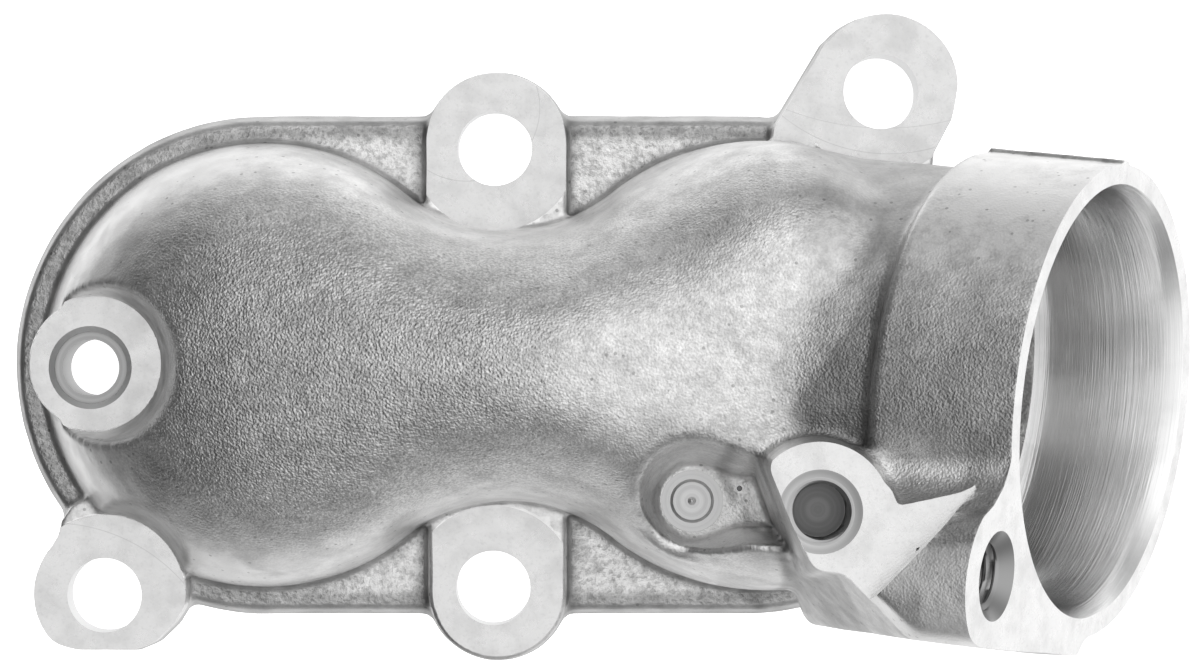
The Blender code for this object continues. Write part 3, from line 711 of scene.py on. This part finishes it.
def cast_finish():
    t = Tree("cast_skin", grey(0.8), 0.40)
    # the grain is coarse on the roofs, most on the left, and less on neck and tube
    high = t.ramp(t.z, 0.020, 0.035)
    left = t.ramp(t.x, 0.004, -0.016)
    roof = t.mul(high, t.add(0.36, t.mul(left, 0.64)))
    south = t.ramp(t.y, 0.012, -0.004)
    off = t.ramp(t.x, 0.0265, 0.0215)
    on = t.ramp(t.x, 0.0215, 0.0265)
    lug = t.mul(t.ramp(t.y, -0.0215, -0.0240), t.ramp(t.x, 0.014, 0.022))
    where = t.add(t.mul(off, t.add(0.13, t.mul(roof, 0.87))),
                  t.mul(on, t.add(0.18, t.mul(south, 0.36))))
    where = t.mul(where, t.ramp(lug, 0.0, 1.0, 1.0, 0.4))
    grain = t.math("SUBTRACT", t.noise(0.00029, 1.0, 0.35), 0.5)
    coarse = t.math("SUBTRACT", t.noise(0.0008, 1.0, 0.5), 0.5)
    lumps = t.math("SUBTRACT", t.noise(0.0024, 2.0), 0.5)
    # pocket floors beside the bosses, and the recess's floor, are rough and mottled
    floor = t.mul(t.ramp(t.z, 0.0060, 0.0049), t.ramp(t.nz, 0.75, 0.97))
    pocket = t.mul(t.ramp(t.apart((13.5, -19.6)), 0.0085, 0.0070),
                   t.ramp(t.z, 0.0262, 0.0253), t.ramp(t.nz, 0.8, 0.97))
    floor = t.math("MAXIMUM", floor, pocket)
    blotch = t.noise(0.0007, 3.0, 0.65)
    h = t.add(t.mul(grain, where, 0.000205), t.mul(coarse, where, 0.000045), t.mul(lumps, 0.000030),
              t.mul(t.math("SUBTRACT", blotch, 0.5), floor, 0.00026))
    t.bump(h)
    # tone: stains, dark pits, and painted shade on the neck and lower tube flank with painted light on its upper flank
    stain = t.noise(0.0045, 4.0, 0.65)
    pits = t.ramp(t.cells(0.0019), 0.08, 0.14)
    fleck = t.noise(0.0011, 3.0, 0.7)
    dots = t.mul(where, t.ramp(t.noise(0.00034, 1.0, 0.4), 0.36, 0.66, -0.30, 0.16, smooth=False))
    tone = t.mul(t.ramp(stain, 0.30, 0.70, 0.74, 1.0), t.ramp(pits, 0, 1, 0.6, 1.0), t.add(1.0, dots),
                 t.add(1.0, t.mul(t.ramp(t.nz, 0.4, 0.8), t.ramp(fleck, 0.32, 0.62, -0.20, 0.0))))
    # the per-point attribute brings in the painted shade and painted highlights worked out on the mesh
    painted_shading_node = t.new("ShaderNodeAttribute")
    painted_shading_node.attribute_name = "painted_shading"
    tone = t.mul(tone, t.ramp(painted_shading_node.outputs["Fac"], 0.0, 1.0, 2.0, 0.40, smooth=False))
    # painted shade on the cone that the cutter left round the end boss, strongest on its steep east side
    painted_moat_shade = t.mul(t.ramp(t.apart(LEFT_BOSS), 0.0113, 0.0108), t.ramp(t.z, 0.0131, 0.0136),
                 t.ramp(t.nz, 0.55, 0.35),
                 t.ramp(t.x, (LEFT_BOSS[0] + SHIFT[0] + 0.5) * MM, (LEFT_BOSS[0] + SHIFT[0] + 7.0) * MM, 0.25, 1.0))
    painted_moat_shade = t.mul(painted_moat_shade, t.ramp(t.apart(LEFT_BOSS), 0.0083, 0.0104, 1.0, 0.25))
    tone = t.mul(tone, t.ramp(painted_moat_shade, 0, 1, 1.0, 0.34))
    # painted shade: the high roof on the left is made darker
    tone = t.mul(tone, t.ramp(t.mul(left, high), 0, 1, 1.0, 0.86))
    # painted light on the neck and tube: darker on the south side, lighter to the north, most on the tube's outer part,
    # and lighter on the lug
    north = t.ramp(t.y, -0.002, 0.014)
    along = t.math("SUBTRACT", t.dot(AXIS), float(((MOUTH + SHIFT) * MM) @ AXIS))
    outer = t.ramp(along, -0.0200, -0.0180)
    tube = t.add(t.mul(north, t.add(0.12, t.mul(outer, 0.49))), 0.63)
    tube = t.math("MAXIMUM", tube, t.mul(lug, 1.3))
    tone = t.mul(tone, t.add(off, t.mul(on, tube)))
    tone = t.mul(tone, t.add(1.0, t.mul(floor, t.ramp(blotch, 0.36, 0.56, -0.30, 0.04),
                                        t.ramp(pocket, 0, 1, 1.0, 0.5))))
    # the flash along the tube is dull
    over = t.math("SUBTRACT", t.dot(ACROSS), float(((MOUTH + SHIFT) * MM) @ ACROSS))
    strip = t.mul(t.ramp(over, 0.02765, 0.02785), t.ramp(along, -0.0180, -0.0172))
    tone = t.mul(tone, t.ramp(strip, 0, 1, 1.0, 0.40))
    t.color(tone, grey(0.06, 0.004), grey(0.92, 0.003))
    t.rough(t.add(t.ramp(t.noise(0.003, 3.0), 0.3, 0.7, 0.33, 0.45), t.mul(floor, 0.05)))
    return t.mat


def milled_finish(name, base=0.90, rough=0.30, marks=()):
    """Faced seats: bright, faint cutter arcs, soft grey smudges."""
    t = Tree(name, grey(base), rough)
    smudge = t.noise(0.0042, 4.0, 0.6)
    speck = t.noise(0.00045, 2.0, 0.7)
    tone = t.mul(t.ramp(smudge, 0.30, 0.62, 0.55, 1.0), t.ramp(speck, 0.25, 0.50, 0.70, 1.0))
    line = None
    for (cx, cy), r, width in marks:
        off = t.math("ABSOLUTE", t.math("SUBTRACT", t.apart((cx, cy)), r * MM))
        one = t.ramp(off, 0.0, width * MM, 0.35, 1.0)
        line = one if line is None else t.mul(line, one)
    if line is not None:
        tone = t.mul(tone, line)
    t.color(tone, grey(base * 0.70, 0.002), grey(base, 0.002))
    ring = t.mul(t.math("SINE", t.mul(t.apart((-200.0, 340.0)), 2 * math.pi / 0.00034)), 0.0000012)
    h = t.add(ring, t.mul(t.math("SUBTRACT", speck, 0.5), 0.000012),
              t.mul(t.math("SUBTRACT", smudge, 0.5), 0.00003))
    t.bump(h)
    t.rough(t.ramp(t.noise(0.0025, 3.0), 0.3, 0.7, rough * 0.85, rough * 1.2))
    return t.mat


def turned_finish(name, centre, axis, base=0.95, rough=0.22, deep=0.000032, pitch=0.00022):
    """A turned bore: fine grooves round its axis."""
    t = Tree(name, grey(base), rough)
    along = t.dot(axis)
    comb = t.new("ShaderNodeCombineXYZ")
    t.link(along, comb.inputs[0])
    t.link(t.mul(t.x, 0.02), comb.inputs[1])
    t.link(t.mul(t.y, 0.02), comb.inputs[2])
    v = comb.outputs[0]
    groove = t.math("SUBTRACT", t.noise(pitch, 2.0, 0.6, vec=v), 0.5)
    band = t.math("SUBTRACT", t.noise(0.0016, 3.0, 0.6, vec=v), 0.5)
    t.bump(t.add(t.mul(groove, deep), t.mul(band, deep * 0.8)))
    tone = t.mul(t.ramp(t.noise(0.0009, 4.0, 0.7, vec=v), 0.3, 0.7, 0.65, 1.0),
                 t.ramp(t.noise(0.004, 3.0), 0.3, 0.6, 0.7, 1.0))
    t.color(tone, grey(base * 0.72), grey(base))
    return t.mat


def ringed_finish(name, centre, base, rough, pitch=0.00028, deep=0.000010):
    """A drilled or spot-faced disc with rings round a vertical axis."""
    t = Tree(name, grey(base), rough)
    r = t.apart(centre)
    comb = t.new("ShaderNodeCombineXYZ")
    t.link(r, comb.inputs[0])
    v = comb.outputs[0]
    h = t.math("SUBTRACT", t.noise(pitch, 2.0, 0.6, vec=v), 0.5)
    t.bump(t.mul(h, deep))
    t.color(t.ramp(t.noise(0.0007, 2.0, vec=v), 0.3, 0.7), grey(base * 0.78), grey(base))
    return t.mat


M_CAST = cast_finish()
M_MILL = milled_finish("milled_seat", base=0.77, marks=(
    ((-16.2, 27.6), 8.9, 0.10), ((34.8, 42.2), 20.3, 0.09), ((34.4, 58.0), 33.0, 0.07),
    ((-66.5, -44.0), 21.3, 0.09)))
M_PAD = milled_finish("milled_pad", base=0.83, rough=0.26)
M_END = milled_finish("faced_end", base=0.95, rough=0.28)
M_GASKET = milled_finish("gasket_face", base=0.86, rough=0.30)
M_BORE = turned_finish("turned_bore", MOUTH, AXIS)
M_HOLE = Tree("drilled_hole", grey(0.78), 0.32).mat
M_SPOT = ringed_finish("spot_face", PAD_C, 0.53, 0.38)
M_SINK = Tree("countersink", grey(0.34), 0.34).mat
# painted shade: the bottoms of the tapped holes, and the pit, are given a dark grey
M_DEEP = ringed_finish("hole_bottom_painted_shade", PAD_C, 0.26, 0.42)
M_DISC = ringed_finish("drill_disc", POCKET_C, 0.72, 0.38)
# painted shade: the deep bolt seat and the bore walls of the left hole are given a darker grey
M_SEAT = ringed_finish("bolt_seat_painted_shade", LEFT_HOLE, 0.46, 0.42)
M_BOLT = Tree("bolt_bore_painted_shade", grey(0.42), 0.42).mat
M_EASE = Tree("eased_edge", grey(0.82), 0.55).mat
M_THREAD = Tree("thread_flank", grey(0.36), 0.34).mat


# ------------------------------------------------------------------- the cutting
def keep_object(me, materials):
    ob = bpy.data.objects.new(me.name, me)
    bpy.context.scene.collection.objects.link(ob)
    for m in materials:
        me.materials.append(m)
    return ob


def apply_all(ob):
    dg = bpy.context.evaluated_depsgraph_get()
    me = bpy.data.meshes.new_from_object(ob.evaluated_get(dg))
    ob.modifiers.clear()
    old = ob.data
    ob.data = me
    bpy.data.meshes.remove(old)


def thin(ob, ratio):
    m = ob.modifiers.new("thin", "DECIMATE")
    m.ratio = ratio
    m.use_collapse_triangulate = True
    apply_all(ob)


def open_edges(me):
    bm = bmesh.new()
    bm.from_mesh(me)
    n = sum(1 for e in bm.edges if not e.is_manifold)
    bm.free()
    return n


def subtract(ob, tools):
    for tool in tools:
        m = ob.modifiers.new(tool.name, "BOOLEAN")
        m.operation = "DIFFERENCE"
        m.solver = "MANIFOLD"
        m.material_mode = "TRANSFER"
        if open_edges(tool.data):
            print("not closed:", tool.name, open_edges(tool.data))
            m.solver = "EXACT"
        m.object = tool
    bpy.context.view_layer.update()
    apply_all(ob)
    for tool in tools:
        me = tool.data
        bpy.data.objects.remove(tool, do_unlink=True)
        bpy.data.meshes.remove(me)


casting = keep_object(skin_mesh, [M_CAST])
thin(casting, 0.46)
hollow = keep_object(cast_mesh("cored_hollow", cpos, cquads), [M_CAST])
thin(hollow, 0.35)

tools = [hollow]
tools.append(prism("below", [(-90, -60), (90, -60), (90, 60), (-90, 60)], -9.0, 0.0, [M_GASKET]))
tools.append(prism("end_face", [(-60, -60), (60, -60), (60, 60), (-60, 60)], 0.0, 30.0, [M_END],
                   tube=True))


def seat(name, at, r, z, segments=96):
    return turned(name, [(r, z), (r + 0.05, z + 22.0)], segments, [M_MILL], at=at)


tools.append(seat("seat_top", TOP_HOLE, MILL_R, BOSS_T))
tools.append(seat("seat_low", LOW_HOLE, MILL_R, BOSS_T))
tools.append(turned("seat_left", [(8.2, LEFT_T), (8.25, LEFT_T + 0.9)], 96, [M_MILL], at=LEFT_BOSS))
tools.append(prism("seat_low_ear", [(-75, -45), (-48, -45)] + arc(-60.04, -31.48, 9.8, -20, 128, 40)
                   + [(-75, -18)], BOSS_T, BOSS_T + 0.95, [M_MILL]))
tools.append(prism("seat_ear", [(20.3, 45), (20.3, 17.2), (23.5, 16.4)] + arc(33.86, 29.4, 10.0, 218, 322, 40)
                   + [(43.6, 20.5), (48, 45)], EAR_T, EAR_T + 1.0, [M_MILL]))
milled = ([(10.0, -8.0), (10.0, -34.0), (22.6, -31.3), (27.4, -27.3), (30.3, -29.9),
           (42.4, -17.3), (42.0, -15.2), (33.5, -13.0), (32.0, -8.0)])
tools.append(prism("pad_milling", milled, PAD_Z, 90.0, [M_PAD]))
for nm, at in (("hole_top", TOP_HOLE), ("hole_low", LOW_HOLE), ("hole_ear", EAR_HOLE),
               ("hole_low_ear", LOW_EAR_HOLE)):
    tools.append(turned(nm, [(BOLT_R, -5.0), (BOLT_R, 30.0)], 72, [M_HOLE], at=at))
tools.append(turned("hole_left", [(3.4, -5.0), (3.4, LEFT_T - 1.0), (4.35, LEFT_T - 1.0),
                                  (4.35, LEFT_T - 0.65), (6.0, LEFT_T + 1.0)], 72,
                    [M_BOLT, M_SEAT, M_EASE], [0, 0, 1, 0, 2, 2], at=LEFT_HOLE))
tools.append(turned("bore", [(PASSAGE_R - 0.1, -BORE_L - 6.0), (PASSAGE_R, -BORE_L), (BORE_R, -BORE_L),
                             (BORE_R, -2.4), (BORE_R + 0.9, -0.1), (BORE_R + 1.2, 0.25),
                             (BORE_R + 1.9, 1.0)], 160, [M_BORE, M_END], [0, 0, 0, 0, 0, 0, 1, 1],
                    tube=True))
tools.append(threaded("lug_hole", 3.4, 0.62, 1.25, -9.0, 1.0, lambda z: 5.15 + z if z > -1.75 else 0.0,
                      [M_THREAD, M_DEEP, M_SINK], LUG_HOLE, True))
tools.append(turned("pad_spot", [(3.9, PAD_Z - 0.75), (4.78, PAD_Z - 0.45), (4.80, PAD_Z + 4.0)], 96,
                    [M_SPOT, M_SPOT], [0, 0, 1, 1], at=PAD_C))
tools.append(threaded("pad_hole", 3.12, 0.40, 1.0, PAD_Z - 9.0, PAD_Z + 2.0,
                      lambda z: 3.55 if z > PAD_Z - 1.4 else 0.0,
                      [M_THREAD, M_DEEP, M_SPOT], PAD_C, False))
tools.append(turned("disc", [(0.12, POCKET_Z - 1.15), (0.5, POCKET_Z - 0.95), (2.25, POCKET_Z - 0.85),
                             (2.6, POCKET_Z - 0.40), (3.67, POCKET_Z - 0.30), (3.70, POCKET_Z + 0.4)],
                    72, [M_DISC], at=POCKET_C))
# the pit takes the dark grey of the hole bottoms, a painted shade
tools.append(turned("pit", [(0.25, POCKET_Z - 0.5), (0.42, POCKET_Z + 0.6)], 24, [M_DEEP], at=(16.5, -18.1)))
subtract(casting, tools)

# crisp edges only where a machined face ends; the cast skin stays soft
me = casting.data
me.shade_smooth()
bm = bmesh.new()
bm.from_mesh(me)
bmesh.ops.triangulate(bm, faces=[f for f in bm.faces if len(f.verts) > 3])
names = [m.name for m in me.materials]
soft = names.index("cast_skin")
for e in bm.edges:
    if len(e.link_faces) != 2:
        e.smooth = False
        continue
    a, b = e.link_faces
    angle = e.calc_face_angle(0.0)
    if a.material_index == soft and b.material_index == soft:
        e.smooth = angle < math.radians(70)
    elif a.material_index != b.material_index:
        e.smooth = False
    else:
        e.smooth = angle < math.radians(24)
flat = [names.index(n) for n in ("milled_seat", "milled_pad", "faced_end", "gasket_face",
                                 "hole_bottom_painted_shade", "drill_disc", "spot_face", "bolt_seat_painted_shade")]
for f in bm.faces:
    f.smooth = f.material_index not in flat
print("casting", len(bm.verts), "points", len(bm.faces), "faces",
      sum(len(f.verts) - 2 for f in bm.faces), "triangles",
      sum(1 for e in bm.edges if not e.is_manifold), "open edges")
bm.to_mesh(me)
bm.free()
casting.name = "coolant_outlet"
me.name = "coolant_outlet"

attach(casting, "root")
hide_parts("outlet_casting")


# ------------------------------------------------------------------ the studio
floor_mat = bpy.data.materials.new("pale_floor")
floor_mat.use_nodes = True
fs = floor_mat.node_tree.nodes["Principled BSDF"]
fs.inputs["Base Color"].default_value = (0.9, 0.9, 0.9, 1)
fs.inputs["Roughness"].default_value = 0.9
fs.inputs["Emission Color"].default_value = (1, 1, 1, 1)
fs.inputs["Emission Strength"].default_value = 0.85
bm = bmesh.new()
bmesh.ops.create_grid(bm, x_segments=1, y_segments=1, size=1.6)
fm = bpy.data.meshes.new("floor")
bm.to_mesh(fm)
bm.free()
floor = bpy.data.objects.new("floor", fm)
floor.location = (0, 0, -0.00005)
fm.materials.append(floor_mat)
bpy.context.scene.collection.objects.link(floor)
floor.visible_glossy = False

w = bpy.data.worlds.new("studio")
bpy.context.scene.world = w
w.use_nodes = True
nt = w.node_tree
bg = nt.nodes["Background"]
tc = nt.nodes.new("ShaderNodeTexCoord")
sp = nt.nodes.new("ShaderNodeSeparateXYZ")
nt.links.new(tc.outputs["Generated"], sp.inputs[0])
half = nt.nodes.new("ShaderNodeMath")
half.operation = "ARCCOSINE"
nt.links.new(sp.outputs[2], half.inputs[0])
turn = nt.nodes.new("ShaderNodeMath")
turn.operation = "DIVIDE"
nt.links.new(half.outputs[0], turn.inputs[0])
turn.inputs[1].default_value = math.pi
ramp = nt.nodes.new("ShaderNodeValToRGB")
nt.links.new(turn.outputs[0], ramp.inputs[0])
ramp.color_ramp.interpolation = "EASE"
stops = [(0, 1.00), (20, 0.95), (38, 0.90), (50, 0.76), (62, 0.56), (74, 0.38), (86, 0.29),
         (98, 0.33), (112, 0.47), (128, 0.68), (146, 0.92), (180, 1.0)]
el = ramp.color_ramp.elements
while len(el) < len(stops):
    el.new(0.5)
for e, (deg, v) in zip(el, stops):
    e.position = deg / 180.0
    e.color = (v, v, v, 1)
# the room is darker to the left, lighter to the right and behind the top edge


def lean(component, plain, both):
    """plain * v + both * |v| of one component of the direction."""
    size = nt.nodes.new("ShaderNodeMath")
    size.operation = "ABSOLUTE"
    nt.links.new(sp.outputs[component], size.inputs[0])
    one = nt.nodes.new("ShaderNodeMath")
    one.operation = "MULTIPLY"
    nt.links.new(size.outputs[0], one.inputs[0])
    one.inputs[1].default_value = both
    two = nt.nodes.new("ShaderNodeMath")
    two.operation = "MULTIPLY_ADD"
    nt.links.new(sp.outputs[component], two.inputs[0])
    two.inputs[1].default_value = plain
    nt.links.new(one.outputs[0], two.inputs[2])
    return two


wx, wy = lean(0, 0.475, 0.125), lean(1, 0.24, 0.24)
add = nt.nodes.new("ShaderNodeMath")
add.operation = "ADD"
nt.links.new(wx.outputs[0], add.inputs[0])
nt.links.new(wy.outputs[0], add.inputs[1])
gain = nt.nodes.new("ShaderNodeMath")
gain.operation = "ADD"
nt.links.new(add.outputs[0], gain.inputs[0])
gain.inputs[1].default_value = 1.0
# a dark wall low on the left


def span(component, a, b, lo, hi):
    """lo to hi while a component of the direction goes from a to b."""
    n = nt.nodes.new("ShaderNodeMapRange")
    n.interpolation_type = "SMOOTHSTEP"
    nt.links.new(sp.outputs[component], n.inputs["Value"])
    for k, v in (("From Min", a), ("From Max", b), ("To Min", lo), ("To Max", hi)):
        n.inputs[k].default_value = v
    return n.outputs[0]


def times(a, b):
    n = nt.nodes.new("ShaderNodeMath")
    n.operation = "MULTIPLY"
    nt.links.new(a, n.inputs[0])
    nt.links.new(b, n.inputs[1])
    return n.outputs[0]


wall = times(times(span(0, -0.93, -0.33, -0.66, 0.0), span(2, -0.72, -0.38, 0.0, 1.0)),
             span(2, 0.45, 0.85, 1.0, 0.0))
glow = times(span(0, -0.80, -0.25, 0.75, 0.0), span(2, -0.75, -0.45, 1.0, 0.0))
card = nt.nodes.new("ShaderNodeMath")
card.operation = "ADD"
nt.links.new(wall, card.inputs[0])
nt.links.new(glow, card.inputs[1])
card_one = nt.nodes.new("ShaderNodeMath")
card_one.operation = "ADD"
nt.links.new(card.outputs[0], card_one.inputs[0])
card_one.inputs[1].default_value = 1.0
both = nt.nodes.new("ShaderNodeMath")
both.operation = "MULTIPLY"
nt.links.new(gain.outputs[0], both.inputs[0])
nt.links.new(card_one.outputs[0], both.inputs[1])
mix = nt.nodes.new("ShaderNodeVectorMath")
mix.operation = "SCALE"
nt.links.new(ramp.outputs[0], mix.inputs[0])
nt.links.new(both.outputs[0], mix.inputs["Scale"])
nt.links.new(mix.outputs[0], bg.inputs["Color"])
bg.inputs["Strength"].default_value = 1.0

sun = bpy.data.lights.new("overhead", "SUN")
sun.energy = 1.5
sun.angle = math.radians(25)
so = bpy.data.objects.new("overhead", sun)
so.location = (0, 0, 1.5)
so.visible_glossy = False
bpy.context.scene.collection.objects.link(so)

cam = bpy.data.cameras.new("camera")
cam.sensor_fit = "HORIZONTAL"
cam.sensor_width = 36.0
cam.lens = 180.0
cam.clip_start, cam.clip_end = 0.05, 20.0
co = bpy.data.objects.new("camera", cam)
co.location = (SHIFT[0] * MM, SHIFT[1] * MM, 0.735)
co.rotation_euler = (0, 0, 0)
bpy.context.scene.collection.objects.link(co)
bpy.context.scene.camera = co
bpy.context.scene.view_settings.view_transform = "Standard"
bpy.context.scene.view_settings.look = "None"
bpy.context.scene.view_settings.exposure = 0.0
bpy.context.scene.view_settings.gamma = 1.0
